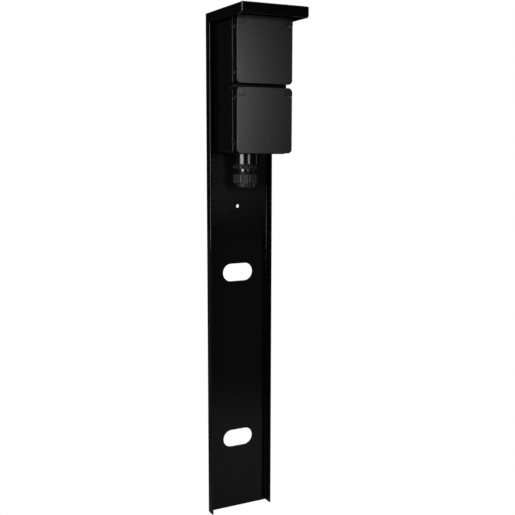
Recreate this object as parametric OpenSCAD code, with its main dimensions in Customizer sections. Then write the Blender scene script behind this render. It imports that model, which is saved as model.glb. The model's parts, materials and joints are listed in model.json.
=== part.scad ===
// Garden socket post: a folded sheet-metal channel with a rain roof, carrying a
// double surface-mounted outdoor socket box with two spring-closed hinged lids
// and a cable gland underneath.
// Frame: +Z up, the front faces -Y, X is left to right, Y = 0 is the rear
// mounting face of the back plate and Z = 0 is the lower end of the sheet.

/* [Post sheet] */
// Width over the two side flanges
post_w = 80; // [78:0.5:90]
// Overall height of the folded sheet
post_h = 591.6; // [590:0.1:595]
// Sheet thickness, powder coat included
sheet_t = 2; // [1.5:0.1:2.2]
// Depth of the vertical side flanges
flange_d = 12.3; // [9:0.1:20]
// Depth of the roof from the rear face to its front lip
roof_d = 95.3; // [92:0.1:110]
// Height of the roof's downward lip
roof_drop = 11.9; // [8:0.1:12]
// Outer radius of the bends
bend_r = 2.6; // [2.3:0.1:3]
// Outer radius of the roof's vertical front corners
roof_corner_r = 1.2; // [0.6:0.1:1.8]

/* [Slots and hole] */
// End-to-end length of a slot
slot_l = 39.2; // [30:0.1:50]
// Width of a slot
slot_w = 21.2; // [15:0.1:28]
// Height of the lower slot's centre
slot_low_z = 87.9; // [60:0.1:120]
// Height of the upper slot's centre
slot_high_z = 293.7; // [250:0.1:320]
// Diameter of the small hole
hole_d = 4.3; // [3:0.1:6]
// Height of the small hole's centre
hole_z = 372.8; // [350:0.1:385]

/* [Socket units] */
// Width over a socket cover and its lid
unit_w = 67.7; // [67:0.1:69]
// Height of one lid
lid_h = 71.6; // [71:0.1:72]
// Centre distance of the two sockets
unit_pitch = 75.2; // [75:0.1:76]
// Height of the upper lid's top edge
lids_top_z = 582; // [581:0.1:583]
// Distance of the lids' front faces from the rear mounting face
lid_face = 70.8; // [70.6:0.1:72]
// Diameter of a plug well
well_d = 39.4; // [39:0.1:40]
// Depth of a plug well
well_depth = 17.5; // [17:0.1:17.5]
// Distance between the two pin holes
pin_gap = 19; // [19:0.1:19.2]
// Diameter of a pin hole
pin_hole_d = 5.4; // [5.2:0.1:5.8]

/* [Lids] */
// Wall thickness of a lid's face
lid_wall = 2.2; // [1.8:0.1:2.4]
// Depth of a lid's skirt behind its face
skirt_d = 10.7; // [9:0.1:10.8]
// Radius of a lid's lower corners
lid_r = 4.6; // [3:0.1:6]
// Width of one hinge ear
ear_w = 9; // [8:0.1:10]
// Height of one hinge ear at the face
ear_h = 9.3; // [9.3:0.1:10]
// Radius of an ear's inner lower corner
ear_r = 2.3; // [2:0.1:2.6]
// Depth of a lid's full-width front part, before the skirt steps in
lid_lip = 4.8; // [4.4:0.1:6]
// Hinge pin diameter
pin_d = 2.6; // [2.4:0.1:2.8]

/* [Gland] */
// Outer diameter of the round spigot under the box
spigot_d = 27.6; // [27:0.1:28]
// Length of the spigot
spigot_h = 11.7; // [11:0.1:14]
// Distance of the gland's axis from the rear mounting face
gland_dist = 21.5; // [20:0.1:24]
// Cable diameter that the gland's seal clamps
cable_d = 9.8; // [8:0.1:11]

/* [Hidden] */
$fn = 48;

W = post_w/2;              // half width of the post
H = post_h;
T = sheet_t;
ri = bend_r - T;           // inner bend radius
U = unit_w/2;              // half width of a socket unit
yf = -lid_face;            // lid face plane
yr = yf + 11.3;            // front rim of the cover frames
yg = yr + 8.5;             // rear of the cover frames, front of the gasket
yb = yg + 1;               // front edge of the base box
yi = yr - 1.5;             // front face of the socket inserts
yw = yi + well_depth;      // floor of the plug wells
tz = [lids_top_z, lids_top_z - unit_pitch];   // top edge of each lid
cz = [for (t = tz) t - 36.1];                 // centre height of each socket
ax_y = yf + 4.2;           // hinge axes
ax_dz = 4.6;               // hinge axis below the lid's top edge
fr_h = lid_h + 0.8;        // height of a cover frame
bz0 = tz[1] - fr_h + 0.2;  // underside of the base box
bz1 = tz[0] - 0.4;         // top of the base box
B = U - 0.45;              // half width of the base box, front part
gy = -gland_dist;          // gland axis
gz = bz0 - spigot_h;       // lower end of the spigot
stud_x = 20;
stud_z = [455, 562];
lug_z = 455;
scr_x = 29.3;              // cover screws
scr_dz = 24;
car_y = [-40.9, -22];      // front and rear of a contact carrier
wire_r = 1.4;

// --- drawing helpers -------------------------------------------------------
// 2D outline in X-Z, extruded along Y from y0 to y1
module xz(y0, y1) translate([0, y1, 0]) rotate([90, 0, 0])
  linear_extrude(y1 - y0) children();
// 2D outline in Y-Z, extruded along X from x0 to x1
module yz(x0, x1) translate([x0, 0, 0]) rotate([90, 0, 90])
  linear_extrude(x1 - x0) children();
// round bar along X
module xcyl(r, x0, x1, y, z) translate([x0, y, z]) rotate([0, 90, 0])
  cylinder(r = r, h = x1 - x0);
// round bar along Y
module ycyl(r, y0, y1, x, z) translate([x, y0, z]) rotate([-90, 0, 0])
  cylinder(r = r, h = y1 - y0);
// waste left outside a rounded corner; sx and sz point into the material
module nick(x, z, sx, sz, r) difference() {
  translate([sx > 0 ? x - 1 : x - r, sz > 0 ? z - 1 : z - r]) square(r + 1);
  translate([x + sx*r, z + sz*r]) circle(r = r);
}
// rectangle with its own radius at each corner: bottom left, bottom right,
// top right, top left
module rr4(x0, z0, x1, z1, r) difference() {
  translate([x0, z0]) square([x1 - x0, z1 - z0]);
  if (r[0] > 0) nick(x0, z0, 1, 1, r[0]);
  if (r[1] > 0) nick(x1, z0, -1, 1, r[1]);
  if (r[2] > 0) nick(x1, z1, -1, -1, r[2]);
  if (r[3] > 0) nick(x0, z1, 1, -1, r[3]);
}
module rr(x0, z0, x1, z1, r) rr4(x0, z0, x1, z1, [r, r, r, r]);
module stadium(l, w) {
  square([l - w, w], center = true);
  for (s = [-1, 1]) translate([s*(l - w)/2, 0]) circle(d = w, $fn = 64);
}
// quarter of a round wire bend in the Y-Z plane
module wire_bend(x, y, z, r, a) translate([x, y, z]) rotate([0, 90, 0])
  rotate([0, 0, a]) rotate_extrude(angle = 90, $fn = 48)
    translate([r, 0]) circle(r = wire_r, $fn = 24);

// --- folded post -----------------------------------------------------------
module post_skin() intersection() {
  yz(-W - 1, W + 1) union() {
    translate([-flange_d, 0]) square([flange_d, H - roof_drop + 1]);
    rr4(-roof_d, H - roof_drop, 0, H, [0, 0, bend_r, bend_r]);
  }
  xz(-roof_d - 1, 1) rr4(-W, 0, W, H, [0, 0, bend_r, bend_r]);
  linear_extrude(H + 1)
    rr4(-W, -roof_d, W, 0, [roof_corner_r, roof_corner_r, bend_r, bend_r]);
}
module post_hollow() intersection() {
  yz(-W + T, W - T) union() {
    translate([-roof_d - 5, -2]) square([roof_d + 5 - T, H - roof_drop + 2]);
    rr4(-roof_d + T, H - roof_drop - 1, -T, H - T, [0, 0, ri, ri]);
  }
  xz(-roof_d - 2, 1) rr4(-W + T, -3, W - T, H - T, [0, 0, ri, ri]);
  translate([0, 0, -3]) linear_extrude(H + 4)
    rr4(-W + T, -roof_d - 6, W - T, -T, [0, 0, ri, ri]);
}
module post_body() color([0.055, 0.055, 0.06]) difference() {
  post_skin();
  post_hollow();
  for (z = [slot_low_z, slot_high_z])
    xz(-T - 1, 1) translate([0, z]) stadium(slot_l, slot_w);
  ycyl(hole_d/2, -T - 1, 1, 0, hole_z);
  // open seams where the roof's side lips meet its front lip
  for (s = [-1, 1])
    translate([s*W - (s > 0 ? T : 0) - 0.01, -roof_d + T, H - roof_drop - 1])
      cube([T + 0.02, 0.35, roof_drop - bend_r + 0.4]);
  // eased lower corners of the front lip
  xz(-roof_d - 0.5, -roof_d + T) union() {
    nick(-W, H - roof_drop, 1, 1, 3);
    nick(W, H - roof_drop, -1, 1, 3);
  }
}
// M4 studs welded to the back plate
module weld_studs() color([0.78, 0.79, 0.8])
  for (x = [-stud_x, stud_x], z = stud_z) {
    ycyl(1.97, -10.4, -T, x, z);
    translate([x, -10.4, z]) rotate([90, 0, 0])
      cylinder(r1 = 1.97, r2 = 1.4, h = 0.6);
  }

// --- base box --------------------------------------------------------------
module screw_spots() for (i = [0, 1], sx = [-1, 1], sz = [-1, 1])
  translate([sx*scr_x, 0, cz[i] + sz*scr_dz]) children();
module base_box() color([0.07, 0.07, 0.075]) difference() {
  union() {
    difference() {
      union() {
        xz(yb, -24) rr(-B, bz0, B, bz1, 4);
        xz(-24, -T) rr(-B + 0.5, bz0, B - 0.5, bz1, 3.6);
      }
      xz(yb - 1, -T - 2.5) rr(-B + 2.2, bz0 + 2.2, B - 2.2, bz1 - 2.2, 2);
    }
    // bar that backs the joint between the two covers
    xz(yb, yb + 8) translate([-B + 1, tz[1] - 2]) square([2*B - 2, 7]);
    // screw posts
    screw_spots() ycyl(3.4, yb, -T - 1, 0, 0);
    // raised rings around the fixing studs
    for (x = [-stud_x, stud_x], z = stud_z) ycyl(6.5, -5.3, -T - 1, x, z);
    // entry spigot
    translate([0, gy, gz]) cylinder(d = spigot_d, h = spigot_h + 2.2);
  }
  screw_spots() ycyl(1.5, yb - 1, yb + 15, 0, 0);
  for (x = [-stud_x, stud_x], z = stud_z) ycyl(2.25, -6, 0, x, z);
  translate([0, gy, gz - 1]) cylinder(d = 20.5, h = spigot_h + 5);
}
module base_washers() color([0.7, 0.71, 0.72])
  for (x = [-stud_x, stud_x], z = stud_z) difference() {
    ycyl(4.5, -6.3, -5.3, x, z);
    ycyl(2.15, -7, -5, x, z);
  }
module base_nuts() color([0.74, 0.75, 0.76])
  for (x = [-stud_x, stud_x], z = stud_z) {
    y = (x < 0 && z == lug_z) ? -7.1 : -6.3;
    difference() {
      ycyl_hex(8.08/2, y - 3.2, y, x, z);
      ycyl(2.02, -12, -5, x, z);
    }
  }
module ycyl_hex(r, y0, y1, x, z) translate([x, y0, z]) rotate([-90, 0, 0])
  cylinder(r = r, h = y1 - y0, $fn = 6);

// earth bonding of the metal post
module bond_lug() color([0.85, 0.84, 0.8]) difference() {
  union() {
    ycyl(4, -7.1, -6.3, -stud_x, lug_z);
    translate([-stud_x - 1.8, -7.1, lug_z]) cube([3.6, 0.8, 6.4]);
    translate([-stud_x, -8, lug_z + 6]) cylinder(r = 2.2, h = 5);
  }
  ycyl(2.15, -9, -5, -stud_x, lug_z);
  translate([-stud_x, -8, lug_z + 6.6]) cylinder(r = wire_r + 0.02, h = 6);
}
module bond_wire() color([0.35, 0.6, 0.15]) {
  translate([-stud_x, -8, lug_z + 7]) cylinder(r = wire_r, h = 10, $fn = 24);
  wire_bend(-stud_x, -12, lug_z + 17, 4, 90);
  ycyl_w(-26.5, -12, -stud_x, lug_z + 21);
}
module ycyl_w(y0, y1, x, z) translate([x, y0, z]) rotate([-90, 0, 0])
  cylinder(r = wire_r, h = y1 - y0, $fn = 24);
// loop-in wire between the two sockets: back out of one carrier, up and in
module link(x, z0, z1) {
  ycyl_w(-26.5, -18, x, z0);
  wire_bend(x, -18, z0 + 4, 4, 0);
  translate([x, -14, z0 + 4]) cylinder(r = wire_r, h = z1 - z0 - 8, $fn = 24);
  wire_bend(x, -18, z1 - 4, 4, 90);
  ycyl_w(-26.5, -18, x, z1);
}
module link_live() color([0.35, 0.2, 0.1]) link(14, cz[1] + 12, cz[0] - 12);
module link_neutral() color([0.1, 0.2, 0.55])
  link(-14, cz[1] + 12, cz[0] - 12);
module link_earth() color([0.35, 0.6, 0.15]) link(0, cz[1] + 16, cz[0] - 16);

// --- covers ----------------------------------------------------------------
module cover_gasket() color([0.03, 0.03, 0.03]) difference() {
  xz(yg, yb) rr(-B + 0.2, bz0 + 0.2, B - 0.2, bz1 - 0.2, 3.8);
  for (z = cz) xz(yg - 1, yb + 1) rr(-25, z - 29, 25, z + 29, 3);
  screw_spots() ycyl(1.8, yg - 1, yb + 1, 0, 0);
}
// hinge ear: a block at the top corner with a web that runs back to the frame
module ear(s, t) intersection() {
  union() {
    yz(min(s*(U - ear_w), s*U), max(s*(U - ear_w), s*U))
      rr4(yf, t - ear_h, yr + 0.5, t, [0.6, 0, 0, 0.8]);
    yz(min(s*(U - 2), s*U), max(s*(U - 2), s*U)) difference() {
      polygon([[yf, t - ear_h], [yr + 0.5, t - ear_h - 0.75],
               [yr + 0.5, t], [yf, t]]);
      nick(yf, t, 1, -1, 0.8);
    }
  }
  xz(yf - 1, yr + 1) union() {
    rr4(s > 0 ? U - ear_w : -U, t - ear_h, s > 0 ? U : -U + ear_w, t,
      s > 0 ? [ear_r, 0, 5.2, 0] : [0, ear_r, 0, 5.2]);
    translate([s > 0 ? U - 2 : -U, t - 12]) square([2, 5]);
  }
}
module cover_frame(i) {
  t = tz[i];
  c = cz[i];
  difference() {
    union() {
      difference() {
        union() {
          xz(yr, yr + 2) rr4(-U, t - fr_h, U, t, [4.6, 4.6, 5.2, 5.2]);
          // behind its rim the upper frame reaches down over the joint
          xz(yr + 2, yg) rr4(-U + 0.35, i == 0 ? tz[1] + 0.4 : t - fr_h + 0.35,
            U - 0.35, t - 0.35, i == 0 ? [1, 1, 4.8, 4.8] : [4.2, 4.2, 4.8, 4.8]);
        }
        xz(yr + 2.5, yg + 1)
          rr(-U + 2.3, t - fr_h + 2.3, U - 2.3, t - 2.3, 2.4);
      }
      // collar around the insert
      xz(yr, yg) rr(-26.3, c - 26.3, 26.3, c + 26.3, 6.5);
      // screw sleeves
      for (sx = [-1, 1], sz = [-1, 1])
        ycyl(3.6, yr + 1, yg, sx*scr_x, c + sz*scr_dz);
      for (s = [-1, 1]) ear(s, t);
    }
    // window for the insert
    xz(yr - 1, yg + 1) rr(-24.3, c - 24.3, 24.3, c + 24.3, 5);
    for (sx = [-1, 1], sz = [-1, 1]) {
      ycyl(1.7, yr - 1, yg + 1, sx*scr_x, c + sz*scr_dz);
      ycyl(3.1, yr - 1, yr + 1.7, sx*scr_x, c + sz*scr_dz);
    }
    // blind seats of the hinge pin
    xcyl(pin_d/2 + 0.02, -U + 2.2, U - 2.2, ax_y, t - ax_dz);
  }
}
module frame_upper() color([0.08, 0.08, 0.085]) cover_frame(0);
module frame_lower() color([0.08, 0.08, 0.085]) cover_frame(1);
// pan-head cover screws
module frame_screws() color([0.7, 0.71, 0.72])
  for (i = [0, 1], sx = [-1, 1], sz = [-1, 1])
    translate([sx*scr_x, 0, cz[i] + sz*scr_dz]) difference() {
      union() {
        ycyl(2.8, yr + 0.1, yr + 1.7, 0, 0);
        ycyl(1.45, yr + 1.7, yr + 22, 0, 0);
      }
      for (a = [0, 90]) translate([0, yr + 0.5, 0]) rotate([0, a, 0])
        cube([3.2, 1.4, 0.7], center = true);
    }

// --- socket inserts --------------------------------------------------------
module socket_insert(i) {
  c = cz[i];
  difference() {
    union() {
      xz(yi, yr) rr(-25, c - 25, 25, c + 25, 6);
      xz(yr, yr + 6) rr(-24, c - 24, 24, c + 24, 4.8);
      ycyl_64(well_d/2 + 2.2, yr, yw + 2.5, 0, c);
    }
    ycyl_64(well_d/2, yi - 1, yw, 0, c);
    // chamfered mouth
    translate([0, yi - 0.01, c]) rotate([-90, 0, 0])
      cylinder(r1 = well_d/2 + 0.8, r2 = well_d/2, h = 0.8, $fn = 64);
    for (s = [-1, 1]) {
      ycyl(pin_hole_d/2, yw - 1, yw + 4, s*pin_gap/2, c);
      // slots for the earth clip's arms
      translate([-3.4, yw - 1, s > 0 ? c + 16.6 : c - 18.4])
        cube([6.8, 5, 1.8]);
    }
    ycyl(1.7, yw - 1, yw + 4, 0, c);
    translate([0, yw - 0.01, c]) rotate([-90, 0, 0])
      cylinder(r1 = 3.2, r2 = 1.6, h = 1.61);
  }
}
module ycyl_64(r, y0, y1, x, z) translate([x, y0, z]) rotate([-90, 0, 0])
  cylinder(r = r, h = y1 - y0, $fn = 64);
module insert_upper() color([0.1, 0.1, 0.105]) socket_insert(0);
module insert_lower() color([0.1, 0.1, 0.105]) socket_insert(1);
// countersunk centre screws
module insert_screws() color([0.75, 0.75, 0.76]) for (c = cz) difference() {
  union() {
    translate([0, yw + 0.1, c]) rotate([-90, 0, 0])
      cylinder(r1 = 3, r2 = 1.45, h = 1.55);
    ycyl(1.45, yw + 1.6, yw + 13, 0, c);
  }
  translate([-3.2, yw, c - 0.4]) cube([6.4, 0.8, 0.8]);
}

// --- live parts ------------------------------------------------------------
// one line contact: slit sleeve with its terminal block
module contact_shape(s, c, g) {
  difference() {
    union() {
      ycyl(3.3 + g, car_y[0] + 0.6 - 3*g, -24.6 + g, s*pin_gap/2, c);
      translate([min(s*9, s*19.5) - (s < 0 ? g : 0), -32 - g, c - 3 - g])
        cube([10.5 + g, 7.4 + 2*g, 6 + 2*g]);
    }
    if (g == 0) {
      ycyl(2.45, car_y[0], -26, s*pin_gap/2, c);
      translate([s*pin_gap/2 - 0.4, car_y[0], c]) cube([0.8, 8.6, 5]);
      xcyl(1.6, min(s*14, s*20), max(s*14, s*20), -28.3, c);
    }
  }
}
module carrier(c) difference() {
  xz(car_y[0], car_y[1]) rr(-23, c - 20, 23, c + 20, 3);
  for (s = [-1, 1]) contact_shape(s, c, 0.15);
  for (s = [-1, 1]) ycyl(3.45, car_y[0] - 1, car_y[0] + 2, s*pin_gap/2, c);
  // recess of the earth strap
  translate([-3.4, car_y[0] - 1, c - 18.2]) cube([6.8, 2, 36.4]);
  ycyl(1.5, car_y[0] - 1, -28, 0, c);
  // access to the terminal screws and wire entries
  for (s = [-1, 1])
    xcyl(1.65, min(s*19, s*24), max(s*19, s*24), -28.3, c);
  for (x = [-14, 14], z = [c - 12, c + 12]) ycyl(1.7, -27, -21, x, z);
  for (z = [c - 16, c + 16]) ycyl(1.7, -27, -21, 0, z);
  ycyl(1.7, -27, -21, -stud_x, c + 5.3);
}
module carrier_upper() color([0.86, 0.85, 0.82]) carrier(cz[0]);
module carrier_lower() color([0.86, 0.85, 0.82]) carrier(cz[1]);
module line_contacts_upper() color([0.8, 0.65, 0.25])
  for (s = [-1, 1]) contact_shape(s, cz[0], 0);
module line_contacts_lower() color([0.8, 0.65, 0.25])
  for (s = [-1, 1]) contact_shape(s, cz[1], 0);
module earth_clip(c) difference() {
  union() {
    translate([-3, -40.8, c - 17.8]) cube([6, 0.8, 35.6]);
    for (s = [-1, 1]) {
      translate([-3, yw - 12.5, s > 0 ? c + 17 : c - 17.8])
        cube([6, -40.4 - (yw - 12.5), 0.8]);
      // rounded contact bump
      xcyl(1, -3, 3, yw - 10.5, c + s*17.2);
    }
  }
  ycyl(1.7, -42, -39, 0, c);
}
module earth_clip_upper() color([0.75, 0.76, 0.78]) earth_clip(cz[0]);
module earth_clip_lower() color([0.75, 0.76, 0.78]) earth_clip(cz[1]);
module terminal_screws() color([0.76, 0.76, 0.74])
  for (c = cz, s = [-1, 1]) difference() {
    xcyl(1.5, min(s*14.5, s*21), max(s*14.5, s*21), -28.3, c);
    translate([s*21 - 0.5, -30, c - 0.35]) cube([1, 3.4, 0.7]);
  }

// --- lids ------------------------------------------------------------------
module lid_outline(t, o) rr4(-U + o, t - lid_h + o, U - o, t - 2,
  [lid_r - o, lid_r - o, 0, 0]);
// edge of the notch at one ear, turned about the hinge axis: distance from the
// axis, position along it
function notch_edge(ex) = let(el = ear_r + 0.3, fy = ax_y - yf,
  zc = ax_dz - ear_h + ear_r) concat(
    // 6.0 clears the ear's rounded top when the lid stands fully open
    [for (a = [0, 30, 45, 60, 75, 90])
      [max(6.0, norm([fy, zc - el*sin(a)])), ex + el*(1 - cos(a))]],
    [[norm([fy, zc - el]), U + 1]]);
module lid(i) {
  t = tz[i];
  c = cz[i];
  ay = ax_y;
  az = t - ax_dz;
  ex = U - ear_w - 0.3;     // half width of the part between the ears
  difference() {
    union() {
      // full-width front part and the skirt behind it, which steps in
      difference() {
        union() {
          xz(yf, yf + lid_lip) lid_outline(t, 0);
          xz(yf + lid_lip, yf + skirt_d) lid_outline(t, 2.8);
        }
        xz(yf + lid_wall, yf + skirt_d + 1)
          rr4(-U + 4.2, t - lid_h + 4.2, U - 4.2, t, [0.4, 0.4, 0, 0]);
      }
      // knuckle between the ears, with a rounded top edge
      yz(-ex, ex) union() {
        rr4(yf, t - 10, ay, t, [0, 0, 0, 0.5]);
        translate([ay, az]) circle(r = 4.1);
      }
      // collar that carries the seal
      difference() {
        xz(yf + 1, yi - 2) rr(-24.2, c - 24.2, 24.2, c + 24.2, 5.4);
        xz(yf, yi) rr(-21.8, c - 21.8, 21.8, c + 21.8, 3.4);
      }
    }
    // room for the ears: their corner swept about the hinge axis, everything
    // above it, and the space above the webs' lower edge
    for (s = [-1, 1]) {
      translate([0, ay, az]) rotate([0, s*90, 0]) rotate_extrude($fn = 64)
        polygon(concat([[0, ex]], notch_edge(ex), [[0, U + 1]]));
      yz(s > 0 ? ex : -U - 1, s > 0 ? U + 1 : -ex) union() {
        translate([yf - 1, t - ear_h + ear_r]) square([13, ear_h - ear_r + 1]);
        polygon([[yf + 3.4, t - ear_h - 0.55], [yf + 12, t - ear_h - 1.2],
                 [yf + 12, t + 1], [yf + 3.4, t + 1]]);
      }
    }
    // skirt has no top side between the ears behind the knuckle
    yz(-ex - 0.1, ex + 0.1) difference() {
      translate([yf + lid_wall, t - 12]) square([skirt_d, 13]);
      translate([ay, az]) circle(r = 4.1);
      translate([yf, t - 10]) square([ay - yf, 10]);
    }
    // pin bore and the pocket of the closing spring
    xcyl(pin_d/2 + 0.05, -ex - 1, ex + 1, ay, az);
    xcyl(3.1, -7, 7, ay, az);
    yz(-7, 7) translate([ay, az - 4.6]) square([6, 7.7]);
  }
}
module lid_upper() color([0.2, 0.2, 0.21]) lid(0);
module lid_lower() color([0.2, 0.2, 0.21]) lid(1);
module hinge_pin(i) xcyl(pin_d/2, -U + 2.3, U - 2.3, ax_y, tz[i] - ax_dz);
module hinge_pin_upper() color([0.8, 0.81, 0.82]) hinge_pin(0);
module hinge_pin_lower() color([0.8, 0.81, 0.82]) hinge_pin(1);
// torsion spring: close-wound turns on the pin and two legs
module lid_spring(i) {
  z = tz[i] - ax_dz;
  for (k = [-6:6]) translate([k*0.85, ax_y, z]) rotate([0, 90, 0])
    rotate_extrude($fn = 32) translate([2.1, 0]) circle(r = 0.45, $fn = 16);
  translate([5.1, ax_y + 2.1, z - 6]) cylinder(r = 0.4, h = 6, $fn = 16);
  ycyl_s(ax_y + 0.3, yr - 0.05, -5.1, z - 2.1);
}
module ycyl_s(y0, y1, x, z) translate([x, y0, z]) rotate([-90, 0, 0])
  cylinder(r = 0.4, h = y1 - y0, $fn = 16);
module lid_spring_upper() color([0.7, 0.71, 0.72]) lid_spring(0);
module lid_spring_lower() color([0.7, 0.71, 0.72]) lid_spring(1);
module lid_seal(i) difference() {
  xz(yi - 2, yi - 0.1) rr(-24, cz[i] - 24, 24, cz[i] + 24, 5.2);
  xz(yi - 3, yi + 1) rr(-22, cz[i] - 22, 22, cz[i] + 22, 3.6);
}
module lid_seal_upper() color([0.02, 0.02, 0.02]) lid_seal(0);
module lid_seal_lower() color([0.02, 0.02, 0.02]) lid_seal(1);

// --- cable gland -----------------------------------------------------------
// all heights are below the spigot's lower end
// hexagon outline with two grip ribs of outer radius r at every corner
module ribs(r) polygon([for (k = [0:5], q = [[-14.5, 0.4], [14.5, 0.4],
  [15.6, 0.9], [17.6, 0.9], [18.8, 0], [26.6, 0], [28, 0.9], [32, 0.9],
  [33.4, 0], [41.2, 0], [42.4, 0.9], [44.4, 0.9]])
  let(a = 4 + 60*k + q[0]) [(r - q[1])*cos(a), (r - q[1])*sin(a)]]);
module gland_washer() color([0.02, 0.02, 0.02])
  translate([0, gy, gz - 1.5]) difference() {
    cylinder(r = 12.4, h = 1.5);
    translate([0, 0, -1]) cylinder(r = 10.1, h = 4);
  }
module gland_body() color([0.09, 0.09, 0.1]) translate([0, gy, gz]) difference() {
  union() {
    translate([0, 0, -1.5]) cylinder(r = 9.9, h = spigot_h + 8.7);
    intersection() {
      translate([0, 0, -5.5]) linear_extrude(4) ribs(13.8);
      rotate_extrude($fn = 64) polygon([[0, -5.5], [13.4, -5.5], [13.8, -5.1],
        [13.8, -1.9], [13.4, -1.5], [0, -1.5]]);
    }
    translate([0, 0, -8.6]) cylinder(r = 10.4, h = 3.3);
    translate([0, 0, -19.4]) cylinder(r = 9.7, h = 14);
    translate([0, 0, -19.4]) cylinder(r = 10.4, h = 10);
  }
  translate([0, 0, -19.8]) cylinder(r = 7.7, h = 60);
}
module gland_locknut() color([0.09, 0.09, 0.1])
  translate([0, gy, bz0 + 2.2]) difference() {
    cylinder(r = 13.6, h = 4.6, $fn = 6);
    translate([0, 0, -1]) cylinder(r = 9.95, h = 7);
  }
module gland_seal() color([0.03, 0.03, 0.03])
  translate([0, gy, gz - 23.2]) difference() {
    cylinder(r = 7.5, h = 15);
    translate([0, 0, -1]) cylinder(r = cable_d/2, h = 17);
  }
// clamping claw: a ring with eight fingers
module gland_claw() color([0.12, 0.12, 0.13])
  translate([0, gy, gz]) difference() {
    rotate_extrude($fn = 48) polygon([[7.55, -19.5], [10.2, -19.5],
      [10.2, -20.5], [8.05, -23.6], [7.55, -23.6]]);
    for (a = [0:45:315]) rotate([0, 0, a]) translate([6, -0.5, -24.8])
      cube([4, 1, 4.2]);
  }
// cap nut: hexagon with corner ribs above a smooth dome
module gland_nut() color([0.09, 0.09, 0.1]) translate([0, gy, gz]) difference() {
  union() {
    intersection() {
      translate([0, 0, -22]) linear_extrude(10.2) ribs(13.8);
      rotate_extrude($fn = 64) polygon([[0, -22], [13.2, -22], [13.8, -21.4],
        [13.8, -12.2], [13.3, -11.8], [0, -11.8]]);
    }
    rotate_extrude($fn = 64) polygon(concat([[0, -27.3], [0, -20.8], [11.5, -20.8],
      [11.5, -22.2], [11, -24.8]], [for (a = [10:10:80]) [8.8 + 2.2*cos(a),
      -24.8 - 2.5*sin(a)]], [[8.8, -27.3]]));
  }
  rotate_extrude($fn = 64) polygon([[0, -10.8], [10.55, -10.8], [10.55, -20.7],
    [7.6, -24.7], [7, -25], [7, -28], [0, -28]]);
}

post_body();
weld_studs();
base_box();
base_washers();
base_nuts();
bond_lug();
bond_wire();
cover_gasket();
frame_upper();
frame_lower();
frame_screws();
insert_upper();
insert_lower();
insert_screws();
carrier_upper();
carrier_lower();
line_contacts_upper();
line_contacts_lower();
earth_clip_upper();
earth_clip_lower();
terminal_screws();
link_live();
link_neutral();
link_earth();
lid_upper();
lid_lower();
hinge_pin_upper();
hinge_pin_lower();
lid_spring_upper();
lid_spring_lower();
lid_seal_upper();
lid_seal_lower();
gland_washer();
gland_body();
gland_locknut();
gland_seal();
gland_claw();
gland_nut();
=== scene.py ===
import json
import math

import bmesh
import bpy
from mathutils import Matrix, Vector


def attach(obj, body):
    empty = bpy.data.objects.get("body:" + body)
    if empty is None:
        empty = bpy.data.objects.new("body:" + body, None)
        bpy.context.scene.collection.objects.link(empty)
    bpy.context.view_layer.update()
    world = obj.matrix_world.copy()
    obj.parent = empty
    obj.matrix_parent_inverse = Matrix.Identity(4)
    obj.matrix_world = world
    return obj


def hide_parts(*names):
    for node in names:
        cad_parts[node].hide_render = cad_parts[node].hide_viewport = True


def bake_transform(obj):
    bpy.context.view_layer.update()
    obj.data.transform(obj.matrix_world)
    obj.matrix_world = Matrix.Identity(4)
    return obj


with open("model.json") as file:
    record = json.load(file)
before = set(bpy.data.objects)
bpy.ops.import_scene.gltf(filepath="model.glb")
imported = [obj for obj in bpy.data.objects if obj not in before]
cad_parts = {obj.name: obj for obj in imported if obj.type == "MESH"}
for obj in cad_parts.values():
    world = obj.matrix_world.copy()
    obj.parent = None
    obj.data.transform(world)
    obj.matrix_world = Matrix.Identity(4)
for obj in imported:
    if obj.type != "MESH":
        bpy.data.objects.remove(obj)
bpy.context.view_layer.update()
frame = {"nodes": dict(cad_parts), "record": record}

MM = 0.001
scene = bpy.context.scene

# ---------------------------------------------------------------------------
# camera: place, aim and focal length of the photograph's view
# ---------------------------------------------------------------------------
cam_data = bpy.data.cameras.new("camera")
cam_data.lens = 57.106
cam_data.sensor_width = 36.0
cam_data.sensor_fit = "HORIZONTAL"
cam_data.clip_start, cam_data.clip_end = 0.01, 50.0
cam = bpy.data.objects.new("camera", cam_data)
scene.collection.objects.link(cam)
yaw, pitch, roll = (math.radians(a) for a in (27.056, -7.926, 0.129))
fwd = Vector((math.sin(yaw) * math.cos(pitch), math.cos(yaw) * math.cos(pitch), math.sin(pitch)))
right = Vector((math.cos(yaw), -math.sin(yaw), 0.0))
up = right.cross(fwd)
r2 = right * math.cos(roll) + up * math.sin(roll)
u2 = up * math.cos(roll) - right * math.sin(roll)
rot = Matrix((r2, u2, -fwd)).transposed()
cam.matrix_world = Matrix.Translation((-0.41871, -0.87312, 0.44589)) @ rot.to_4x4()
scene.camera = cam

scene.view_settings.view_transform = "Standard"
scene.view_settings.look = "None"
scene.view_settings.exposure = 0.0
scene.view_settings.gamma = 1.0

# ---------------------------------------------------------------------------
# floor, backdrop light and lamps
# ---------------------------------------------------------------------------
WORLD_LIT = 0.012
FLOOR_FAR, FLOOR_NEAR, FLOOR_SPOT = 0.040, 0.12, (0.08, -0.18, 0.0)
FLOOR_REAR = 0.5

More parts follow.
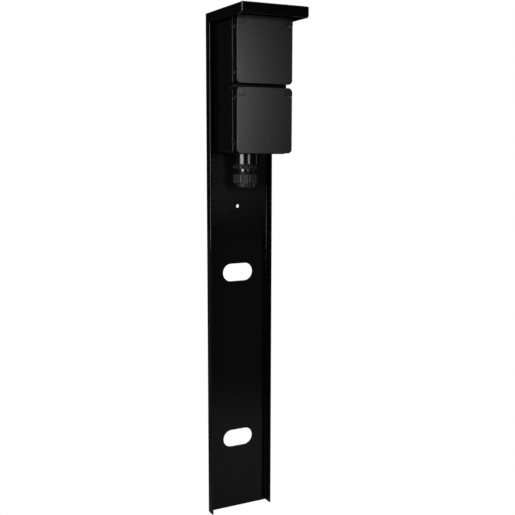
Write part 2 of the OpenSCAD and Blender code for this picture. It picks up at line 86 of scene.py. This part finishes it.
world = bpy.data.worlds.new("studio")
scene.world = world
world.use_nodes = True
wn, wl = world.node_tree.nodes, world.node_tree.links
wn.clear()
w_out = wn.new("ShaderNodeOutputWorld")
w_seen = wn.new("ShaderNodeBackground")
w_seen.inputs["Color"].default_value = (1, 1, 1, 1)
w_seen.inputs["Strength"].default_value = 1.0
w_lit = wn.new("ShaderNodeBackground")
w_lit.inputs["Color"].default_value = (1, 1, 1, 1)
w_lit.inputs["Strength"].default_value = WORLD_LIT
w_path = wn.new("ShaderNodeLightPath")
w_mix = wn.new("ShaderNodeMixShader")
wl.new(w_path.outputs["Is Camera Ray"], w_mix.inputs[0])
wl.new(w_lit.outputs[0], w_mix.inputs[1])
wl.new(w_seen.outputs[0], w_mix.inputs[2])
wl.new(w_mix.outputs[0], w_out.inputs["Surface"])


def new_object(name, mesh):
    o = bpy.data.objects.new(name, mesh)
    scene.collection.objects.link(o)
    return o


def floor():
    """white sweep: seen as plain white; in reflections it glows, a painted pool of light near the post"""
    me = bpy.data.meshes.new("floor")
    bm = bmesh.new()
    bmesh.ops.create_grid(bm, x_segments=8, y_segments=8, size=3.0)
    bm.to_mesh(me)
    bm.free()
    o = new_object("floor", me)
    o.location = (0, 0, -0.0004)
    m = bpy.data.materials.new("floor_white")
    m.use_nodes = True
    n, l = m.node_tree.nodes, m.node_tree.links
    n.clear()
    out = n.new("ShaderNodeOutputMaterial")
    seen = n.new("ShaderNodeEmission")
    seen.inputs["Strength"].default_value = 1.0
    glow = n.new("ShaderNodeEmission")
    geo = n.new("ShaderNodeNewGeometry")
    dist = n.new("ShaderNodeVectorMath")
    dist.operation = "DISTANCE"
    dist.inputs[1].default_value = FLOOR_SPOT
    l.new(geo.outputs["Position"], dist.inputs[0])
    fall = n.new("ShaderNodeMapRange")
    fall.interpolation_type = "SMOOTHSTEP"
    fall.inputs["From Min"].default_value = 0.05
    fall.inputs["From Max"].default_value = 0.38
    fall.inputs["To Min"].default_value = FLOOR_NEAR
    fall.inputs["To Max"].default_value = FLOOR_FAR
    l.new(dist.outputs["Value"], fall.inputs["Value"])
    # behind the post, to the right, the sweep glows brighter, a painted patch of light, so that its back is not lost
    place = n.new("ShaderNodeSeparateXYZ")
    l.new(geo.outputs["Position"], place.inputs[0])
    rear = n.new("ShaderNodeMapRange")
    rear.interpolation_type = "SMOOTHSTEP"
    rear.inputs["From Min"].default_value = 0.10
    rear.inputs["From Max"].default_value = 0.45
    rear.inputs["To Min"].default_value = 0.0
    rear.inputs["To Max"].default_value = FLOOR_REAR
    l.new(place.outputs["Y"], rear.inputs["Value"])
    right = n.new("ShaderNodeMapRange")
    right.interpolation_type = "SMOOTHSTEP"
    right.inputs["From Min"].default_value = 0.0
    right.inputs["From Max"].default_value = 0.25
    right.inputs["To Min"].default_value = 0.0
    right.inputs["To Max"].default_value = 1.0
    l.new(place.outputs["X"], right.inputs["Value"])
    add = n.new("ShaderNodeMath")
    add.operation = "MULTIPLY_ADD"
    l.new(rear.outputs["Result"], add.inputs[0])
    l.new(right.outputs["Result"], add.inputs[1])
    l.new(fall.outputs["Result"], add.inputs[2])
    l.new(add.outputs[0], glow.inputs["Strength"])
    path = n.new("ShaderNodeLightPath")
    mix = n.new("ShaderNodeMixShader")
    l.new(path.outputs["Is Camera Ray"], mix.inputs[0])
    l.new(glow.outputs[0], mix.inputs[1])
    l.new(seen.outputs[0], mix.inputs[2])
    l.new(mix.outputs[0], out.inputs["Surface"])
    me.materials.append(m)


floor()


def lamp(name, az, el, dist, width, height, radiance, target=(0, -0.05, 0.45)):
    """rectangular soft light; az is counted from the front towards +X"""
    a, e = math.radians(az), math.radians(el)
    d = Vector((math.sin(a) * math.cos(e), -math.cos(a) * math.cos(e), math.sin(e)))
    data = bpy.data.lights.new(name, "AREA")
    data.shape = "RECTANGLE"
    data.size, data.size_y = width, height
    data.energy = radiance * math.pi * width * height
    o = bpy.data.objects.new(name, data)
    scene.collection.objects.link(o)
    o.location = Vector(target) + d * dist
    o.rotation_mode = "QUATERNION"
    o.rotation_quaternion = (-d).to_track_quat("-Z", "Y")
    return o


lamp("key_left", -60, 4, 1.30, 0.66, 0.75, 6.3)
lamp("front_near", 10, 2, 0.55, 0.15, 0.26, 4.3, (0, -0.05, 0.50))
lamp("front_high", -20, 35, 0.60, 0.18, 0.18, 2.0, (0, -0.05, 0.50))
lamp("back_right", 122, 10, 1.5, 0.70, 1.00, 0.22)
lamp("back", 160, 12, 1.6, 0.60, 1.10, 0.8, (0, 0, 0.32))
lamp("back_high", 150, 58, 1.4, 0.80, 0.80, 0.9)

# ---------------------------------------------------------------------------
# materials
# ---------------------------------------------------------------------------


class Mat:
    def __init__(self, name, color, rough, metallic=0.0, spec=0.5, coat=0.0, coat_rough=0.1):
        self.m = bpy.data.materials.new(name)
        self.m.use_nodes = True
        self.n = self.m.node_tree.nodes
        self.l = self.m.node_tree.links
        self.b = self.n["Principled BSDF"]
        self.color = color
        self.b.inputs["Base Color"].default_value = (*color, 1)
        self.b.inputs["Roughness"].default_value = rough
        self.b.inputs["Metallic"].default_value = metallic
        self.b.inputs["Specular IOR Level"].default_value = spec
        self.b.inputs["Coat Weight"].default_value = coat
        self.b.inputs["Coat Roughness"].default_value = coat_rough
        self.coord = self.n.new("ShaderNodeTexCoord")
        self.last_normal = None

    def stretch(self, sx, sy, sz):
        mp = self.n.new("ShaderNodeMapping")
        mp.inputs["Scale"].default_value = (sx, sy, sz)
        self.l.new(self.coord.outputs["Object"], mp.inputs["Vector"])
        return mp.outputs["Vector"]

    def noise(self, scale, detail=3.0, rough=0.5, vec=None):
        t = self.n.new("ShaderNodeTexNoise")
        t.inputs["Scale"].default_value = scale
        t.inputs["Detail"].default_value = detail
        t.inputs["Roughness"].default_value = rough
        self.l.new(vec or self.coord.outputs["Object"], t.inputs["Vector"])
        return t.outputs["Fac"]

    def ramp(self, fac, stops):
        r = self.n.new("ShaderNodeValToRGB")
        els = r.color_ramp.elements
        while len(els) < len(stops):
            els.new(0.5)
        for e, (p, c) in zip(els, stops):
            e.position = p
            e.color = (*c, 1) if len(c) == 3 else c
        self.l.new(fac, r.inputs["Fac"])
        return r.outputs["Color"]

    def maprange(self, fac, a, b, lo, hi):
        r = self.n.new("ShaderNodeMapRange")
        r.inputs["From Min"].default_value = a
        r.inputs["From Max"].default_value = b
        r.inputs["To Min"].default_value = lo
        r.inputs["To Max"].default_value = hi
        self.l.new(fac, r.inputs["Value"])
        return r.outputs["Result"]

    def axis(self, name):
        """one object coordinate"""
        x = self.n.new("ShaderNodeSeparateXYZ")
        self.l.new(self.coord.outputs["Object"], x.inputs[0])
        return x.outputs[name]

    def times(self, a, b):
        m = self.n.new("ShaderNodeMath")
        m.operation = "MULTIPLY"
        self.l.new(a, m.inputs[0])
        self.l.new(b, m.inputs[1])
        return m.outputs[0]

    def blend(self, fac, a, b):
        """value between a and b"""
        m = self.n.new("ShaderNodeMix")
        m.data_type = "FLOAT"
        self.l.new(fac, m.inputs["Factor"])
        self.l.new(a, m.inputs[2])
        self.l.new(b, m.inputs[3])
        return m.outputs[0]

    def mix_color(self, fac, a, b):
        m = self.n.new("ShaderNodeMix")
        m.data_type = "RGBA"
        self.l.new(fac, m.inputs["Factor"])
        self.l.new(a, m.inputs[6])
        self.l.new(b, m.inputs[7])
        return m.outputs[2]

    def tint(self, fac, spread, lo=0.3, hi=0.7):
        """colour that varies by +-spread round the base colour"""
        a = tuple(c * (1 - spread) for c in self.color)
        b = tuple(min(1, c * (1 + spread)) for c in self.color)
        self.l.new(self.ramp(fac, [(lo, a), (hi, b)]), self.b.inputs["Base Color"])

    def rough(self, fac, lo, hi):
        self.l.new(self.maprange(fac, 0.3, 0.7, lo, hi), self.b.inputs["Roughness"])

    def bump(self, fac, distance, strength=1.0):
        bn = self.n.new("ShaderNodeBump")
        bn.inputs["Distance"].default_value = distance
        bn.inputs["Strength"].default_value = strength
        self.l.new(fac, bn.inputs["Height"])
        if self.last_normal:
            self.l.new(self.last_normal, bn.inputs["Normal"])
        self.last_normal = bn.outputs["Normal"]
        self.l.new(self.last_normal, self.b.inputs["Normal"])


M = {}
GRIP_TOP = 0.4291            # upper end of the gland's grip faces

# satin black powder coat: fine orange peel, faint cloudiness
p = Mat("powder_coat_black", (0.0016, 0.0016, 0.0018), 0.12, spec=0.8)
peel = p.noise(620, 3, 0.55)
cloud = p.noise(9, 3, 0.6)
# the coat lies smooth outside; on the back plate between the flanges, from about the gland's height upward, it is made
# duller, and its lighter base colour there is a painted sheen standing in for reflected light
inside = p.maprange(p.axis("Y"), -0.0028, -0.0022, 0.0, 1.0)
inside = p.times(inside, p.maprange(p.axis("Y"), -0.0017, -0.0013, 1.0, 0.0))
fine = p.noise(140, 4, 0.6)
smooth = p.blend(inside, p.maprange(fine, 0.3, 0.7, 0.065, 0.09), p.maprange(fine, 0.3, 0.7, 0.10, 0.13))
dull_with_painted_sheen = p.times(inside, p.maprange(p.axis("Z"), 0.33, 0.40, 0.0, 1.0))
p.l.new(p.blend(dull_with_painted_sheen, smooth, p.maprange(fine, 0.3, 0.7, 0.30, 0.36)), p.b.inputs["Roughness"])
p.l.new(p.maprange(dull_with_painted_sheen, 0.0, 1.0, 0.8, 0.12), p.b.inputs["Specular IOR Level"])
coat = p.ramp(cloud, [(0.3, (0.0013, 0.0013, 0.0015)), (0.7, (0.0019, 0.0019, 0.0021))])
# painted sheen: lighter base colour on the dulled back plate, in place of reflected light
painted_sheen_tone = p.ramp(cloud, [(0.3, (0.0070, 0.0070, 0.0075)), (0.7, (0.0085, 0.0085, 0.0090))])
p.l.new(p.mix_color(dull_with_painted_sheen, coat, painted_sheen_tone), p.b.inputs["Base Color"])
p.bump(peel, 0.00003, 0.12)
p.bump(p.noise(2600, 2, 0.5), 0.00001, 0.1)
M["powder_coat_black"] = p

# moulded plastics with a fine spark-eroded grain
for name, col, r0, r1, g, sp in (
    ("box_plastic", (0.0032, 0.0032, 0.0033), 0.26, 0.34, 0.30, 0.4),
    ("frame_plastic", (0.0022, 0.0022, 0.0023), 0.28, 0.34, 0.3, 0.8),
    ("lid_plastic", (0.0034, 0.0034, 0.0035), 0.28, 0.34, 0.3, 0.8),
    ("insert_plastic", (0.0160, 0.0160, 0.0165), 0.38, 0.48, 0.5, 0.5),
):
    p = Mat(name, col, 0.45, spec=sp)
    p.tint(p.noise(26, 4, 0.6), 0.10)
    p.rough(p.noise(380, 4, 0.65), r0, r1)
    p.bump(p.noise(3400, 2, 0.6), 0.00002, g)
    p.bump(p.noise(45, 2, 0.5), 0.0002, 0.12)
    M[name] = p

# the box's spigot is as glossy as the gland
p = M["box_plastic"]
up = p.maprange(p.axis("Z"), 0.4340, 0.4345, 0.0, 1.0)
p.l.new(p.blend(up, p.maprange(p.noise(300, 3), 0.3, 0.7, 0.17, 0.22), p.maprange(p.noise(380, 4, 0.65), 0.3, 0.7, 0.26, 0.34)),
        p.b.inputs["Roughness"])
p.l.new(p.maprange(p.axis("Z"), 0.4340, 0.4345, 0.80, 0.42), p.b.inputs["Specular IOR Level"])

# the frames' ears are grained like the lids, all behind them is polished
p = M["frame_plastic"]
grain = p.maprange(p.noise(380, 4, 0.65), 0.3, 0.7, 0.25, 0.31)
polish = p.maprange(p.noise(240, 4, 0.6), 0.3, 0.7, 0.12, 0.16)
p.l.new(p.blend(p.maprange(p.axis("Y"), -0.0625, -0.0605, 0.0, 1.0), grain, polish), p.b.inputs["Roughness"])
# the outer rim behind each lid gets a lighter base colour: a painted highlight along that edge
rim_highlight_mask = p.times(p.maprange(p.axis("Y"), -0.0602, -0.0597, 0.0, 1.0), p.maprange(p.axis("Y"), -0.0584, -0.0578, 1.0, 0.0))
side = p.n.new("ShaderNodeMath")
side.operation = "ABSOLUTE"
p.l.new(p.axis("X"), side.inputs[0])
rim_highlight_mask = p.times(rim_highlight_mask, p.maprange(side.outputs[0], 0.0328, 0.0332, 0.0, 1.0))
plain = p.ramp(p.noise(26, 4, 0.6), [(0.3, (0.0020, 0.0020, 0.0021)), (0.7, (0.0024, 0.0024, 0.0025))])
# painted highlight colour for the outer rims
painted_rim_highlight = p.ramp(p.noise(90, 4, 0.6), [(0.3, (0.050, 0.050, 0.051)), (0.7, (0.066, 0.066, 0.067))])
p.l.new(p.mix_color(rim_highlight_mask, plain, painted_rim_highlight), p.b.inputs["Base Color"])

# polyamide of the gland: glossy where turned, finely ribbed and duller on the
# grip faces, which stand more than 12 mm from the gland's axis
p = Mat("gland_plastic", (0.010, 0.010, 0.0105), 0.2, spec=0.8)
away = p.n.new("ShaderNodeVectorMath")
away.operation = "MULTIPLY_ADD"
away.inputs[1].default_value = (1, 1, 0)
away.inputs[2].default_value = (0, 0.0215, 0)
p.l.new(p.coord.outputs["Object"], away.inputs[0])
radius = p.n.new("ShaderNodeVectorMath")
radius.operation = "LENGTH"
p.l.new(away.outputs["Vector"], radius.inputs[0])
grip = p.maprange(radius.outputs["Value"], 0.0121, 0.0125, 0.0, 1.0)
below = p.maprange(p.axis("Z"), GRIP_TOP - 0.0004, GRIP_TOP, 1.0, 0.0)
grip = p.times(grip, below)
dark = p.ramp(p.noise(60, 3), [(0.3, (0.0085, 0.0085, 0.009)), (0.7, (0.0115, 0.0115, 0.012))])
nut_grip = p.ramp(p.noise(400, 4, 0.6), [(0.3, (0.041, 0.041, 0.042)), (0.7, (0.051, 0.051, 0.052))])
body_grip = p.ramp(p.noise(400, 4, 0.6), [(0.3, (0.015, 0.015, 0.0155)), (0.7, (0.021, 0.021, 0.0215))])
dull = p.mix_color(p.maprange(p.axis("Z"), 0.4120, 0.4160, 0.0, 1.0), nut_grip, body_grip)
dome = p.maprange(p.axis("Z"), 0.4004, 0.4012, 1.0, 0.0)
# painted shade: a darker tone in the grooves beside the ribs at the six corners, where the ribs' shadows fall
angle = p.n.new("ShaderNodeMath")
angle.operation = "ARCTAN2"
flat = p.n.new("ShaderNodeSeparateXYZ")
p.l.new(away.outputs["Vector"], flat.inputs[0])
p.l.new(flat.outputs["Y"], angle.inputs[0])
p.l.new(flat.outputs["X"], angle.inputs[1])
turn = p.n.new("ShaderNodeMath")
turn.operation = "SUBTRACT"
turn.inputs[1].default_value = math.radians(34)
p.l.new(angle.outputs[0], turn.inputs[0])
fold = p.n.new("ShaderNodeMath")
fold.operation = "PINGPONG"
fold.inputs[1].default_value = math.radians(30)
p.l.new(turn.outputs[0], fold.inputs[0])
fold = fold.outputs[0]
groove_shade_mask = p.maprange(fold, math.radians(2.4), math.radians(3.4), 1.0, 0.0)
beside = p.times(p.maprange(fold, math.radians(11.0), math.radians(12.0), 0.0, 1.0),
                 p.maprange(fold, math.radians(14.8), math.radians(15.8), 1.0, 0.0))
groove_shade_mask = p.maprange(p.blend(groove_shade_mask, beside, groove_shade_mask), 0.0, 1.0, 0.0, 1.0)
# painted shade colour for the grooves beside the ribs
painted_groove_shade = p.ramp(p.noise(700, 3), [(0.3, (0.0015, 0.0015, 0.0016)), (0.7, (0.0035, 0.0035, 0.0036))])
dull = p.mix_color(groove_shade_mask, dull, painted_groove_shade)
# the domed end takes the lighter tone of the body's grip faces: a painted sheen standing in for the dome's highlight
dark = p.mix_color(dome, dark, body_grip)
p.l.new(p.mix_color(grip, dark, dull), p.b.inputs["Base Color"])
gloss = p.maprange(p.noise(500, 3), 0.3, 0.7, 0.13, 0.2)
matt = p.maprange(p.noise(900, 3), 0.3, 0.7, 0.34, 0.44)
# the thread between body and nut and the nut's domed end are not as bright as the body
thread = p.times(p.maprange(p.axis("Z"), 0.4095, 0.4105, 0.0, 1.0), p.maprange(p.axis("Z"), 0.4141, 0.4146, 1.0, 0.0))
gloss = p.blend(thread, gloss, matt)
gloss = p.blend(dome, gloss, p.maprange(p.noise(900, 3), 0.3, 0.7, 0.32, 0.38))
p.l.new(p.blend(grip, gloss, matt), p.b.inputs["Roughness"])
shine = p.maprange(thread, 0.0, 1.0, 0.92, 0.15)
shine = p.blend(dome, shine, p.maprange(dome, 0.0, 1.0, 0.7, 1.0))
p.l.new(p.blend(grip, shine, p.maprange(groove_shade_mask, 0.0, 1.0, 0.38, 0.04)), p.b.inputs["Specular IOR Level"])
p.bump(p.noise(220, 3, 0.5), 0.00008, 0.1)
M["gland_plastic"] = p

# rubber
p = Mat("black_rubber", (0.012, 0.012, 0.012), 0.75, spec=0.3)
p.tint(p.noise(160, 4), 0.25)
p.rough(p.noise(900, 3), 0.68, 0.85)
p.bump(p.noise(2400, 3), 0.00002, 0.6)
M["black_rubber"] = p

# off-white ceramic-like moulding
p = Mat("carrier_ceramic", (0.62, 0.6, 0.55), 0.5, spec=0.4)
p.tint(p.noise(180, 5, 0.65), 0.06)
p.rough(p.noise(700, 3), 0.42, 0.58)
p.bump(p.noise(1800, 3), 0.00002, 0.4)
M["carrier_ceramic"] = p

# metals
for name, col, r0, r1 in (
    ("zinc_steel", (0.62, 0.63, 0.65), 0.24, 0.42),
    ("clip_steel", (0.56, 0.56, 0.56), 0.2, 0.34),
    ("tinned_copper", (0.68, 0.66, 0.6), 0.26, 0.42),
    ("contact_brass", (0.72, 0.52, 0.2), 0.2, 0.36),
):
    p = Mat(name, col, 0.3, metallic=1.0)
    p.tint(p.noise(300, 5, 0.7), 0.12)
    p.rough(p.noise(1600, 3, 0.6), r0, r1)
    p.bump(p.noise(1.0, 3, 0.6, p.stretch(900, 900, 4200)), 0.00001, 0.35)
    M[name] = p

# wire insulation
for name, col in (("wire_brown", (0.12, 0.045, 0.02)), ("wire_blue", (0.03, 0.09, 0.4))):
    p = Mat(name, col, 0.35)
    p.tint(p.noise(240, 3), 0.12)
    p.rough(p.noise(900, 3), 0.28, 0.42)
    p.bump(p.noise(1500, 2), 0.00001, 0.3)
    M[name] = p
p = Mat("wire_green_yellow", (0.16, 0.42, 0.05), 0.35)
w = p.n.new("ShaderNodeTexWave")
w.bands_direction = "X"
w.inputs["Scale"].default_value = 95
w.inputs["Distortion"].default_value = 0.0
p.l.new(p.coord.outputs["Object"], w.inputs["Vector"])
p.l.new(p.ramp(w.outputs["Fac"], [(0.45, (0.12, 0.36, 0.05)), (0.55, (0.75, 0.62, 0.03))]), p.b.inputs["Base Color"])
p.bump(p.noise(1500, 2), 0.00001, 0.3)
M["wire_green_yellow"] = p

slot_of = {s["node"]: s["material_slot"] for s in frame["record"]["subparts"]}


def dress(obj, slot):
    obj.data.materials.clear()
    obj.data.materials.append(M[slot].m)


for name, obj in frame["nodes"].items():
    for i in range(max(1, len(obj.material_slots))):
        if len(obj.material_slots) == 0:
            obj.data.materials.append(None)
        obj.material_slots[i].link = "OBJECT"
        obj.material_slots[i].material = M[slot_of[name]].m


SHARP = math.radians(34)


def body_name(node):
    for body, members in frame["record"]["behaviour"]["bodies"].items():
        if node in members:
            return body
    return "root"


def crease(e):
    return len(e.link_faces) == 2 and e.calc_face_angle(0.0) > SHARP


def ease(bm, pick, width, segments):
    """rounds the creases that pick() chooses"""
    bm.normal_update()
    es = [e for e in bm.edges if crease(e) and pick(e)]
    if es:
        bmesh.ops.bevel(bm, geom=es, offset=width * MM, offset_type="OFFSET", segments=segments,
                        profile=0.5, affect="EDGES", clamp_overlap=True, miter_outer="ARC", miter_inner="SHARP")


def tidy(bm):
    bmesh.ops.remove_doubles(bm, verts=bm.verts[:], dist=2e-6)
    bmesh.ops.dissolve_degenerate(bm, edges=bm.edges[:], dist=1e-6)
    bmesh.ops.dissolve_limit(bm, angle_limit=math.radians(0.5), verts=bm.verts[:], edges=bm.edges[:],
                             use_dissolve_boundaries=False)


def smooth(me, sharp=SHARP):
    bm = bmesh.new()
    bm.from_mesh(me)
    bm.normal_update()
    for f in bm.faces:
        f.smooth = True
    for e in bm.edges:
        e.smooth = not (len(e.link_faces) == 2 and e.calc_face_angle(0.0) > sharp)
    bm.to_mesh(me)
    bm.free()


def hero(node, rules):
    """a finer piece made from a node's shape; rules are (pick, width in mm, segments)"""
    src = frame["nodes"][node]
    bm = bmesh.new()
    bm.from_mesh(src.data)
    tidy(bm)
    for pick, width, segments in rules:
        ease(bm, pick, width, segments)
    bmesh.ops.recalc_face_normals(bm, faces=bm.faces[:])
    me = bpy.data.meshes.new(node + "_skin")
    bm.to_mesh(me)
    bm.free()
    smooth(me)
    o = new_object(node + "_skin", me)
    me.materials.append(M[slot_of[node]].m)
    wn_mod = o.modifiers.new("normals", "WEIGHTED_NORMAL")
    wn_mod.keep_sharp = True
    wn_mod.weight = 80
    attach(o, body_name(node))
    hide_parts(node)
    return o


def refine(node, width, segments=2, angle=38):
    """eases the edges of a carried-over node"""
    o = frame["nodes"][node]
    w = o.modifiers.new("weld", "WELD")
    w.merge_threshold = 1e-6
    d = o.modifiers.new("planar", "DECIMATE")
    d.decimate_type = "DISSOLVE"
    d.angle_limit = math.radians(0.5)
    b = o.modifiers.new("ease", "BEVEL")
    b.limit_method = "ANGLE"
    b.angle_limit = math.radians(angle)
    b.width = width * MM
    b.segments = segments
    b.use_clamp_overlap = True
    n = o.modifiers.new("normals", "WEIGHTED_NORMAL")
    n.keep_sharp = False
    return o


def mid(e):
    return (e.verts[0].co + e.verts[1].co) / 2


YF, YR, U, TZ, LID_H = -70.8 * MM, -59.5 * MM, 33.85 * MM, (582.0 * MM, 506.8 * MM), 71.6 * MM


def on_face(e, y=YF):
    return all(abs(v.co.y - y) < 2e-5 for v in e.verts)


def every(e):
    return True


# post: eased sheet edges
hero("post_body", [(lambda e: on_face(e, -12.3 * MM) and abs(e.verts[0].co.z - e.verts[1].co.z) > 0.1
                    and mid(e).x < 0, 0.6, 5), (every, 0.4, 3)])

# housing and cover frames
hero("base_box", [(every, 0.35, 2)])
for n, t in (("frame_upper", TZ[0]), ("frame_lower", TZ[1])):
    hero(n, [(lambda e: on_face(e), 0.6, 3), (lambda e: on_face(e, YR) and abs(abs(mid(e).x) - U) < 1e-4, 1.9, 6),
             (every, 0.25, 2)])

# lids: moulded radius round the face, small radius elsewhere
for n, t in (("lid_upper", TZ[0]), ("lid_lower", TZ[1])):
    def rim(e, t=t):
        m = mid(e)
        outer = abs(abs(m.x) - U) < 1e-4 or m.z < t - LID_H + 5.2 * MM
        return on_face(e) and outer
    hero(n, [(rim, 2.3, 6), (every, 0.2, 2)])

for n in ("insert_upper", "insert_lower"):
    hero(n, [(every, 0.3, 2)])
for n in ("gland_nut", "gland_body"):
    hero(n, [(every, 0.18, 2)])


def wound(node):
    """closing spring: a smoothed copy of the node, left in place; the node itself is hidden"""
    bm = bmesh.new()
    bm.from_mesh(frame["nodes"][node].data)
    tidy(bm)
    bmesh.ops.recalc_face_normals(bm, faces=bm.faces[:])
    me = bpy.data.meshes.new(node + "_wound")
    bm.to_mesh(me)
    bm.free()
    smooth(me)
    o = new_object(node + "_wound", me)
    me.materials.append(M[slot_of[node]].m)
    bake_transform(o)
    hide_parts(node)


wound("lid_spring_upper")
wound("lid_spring_lower")
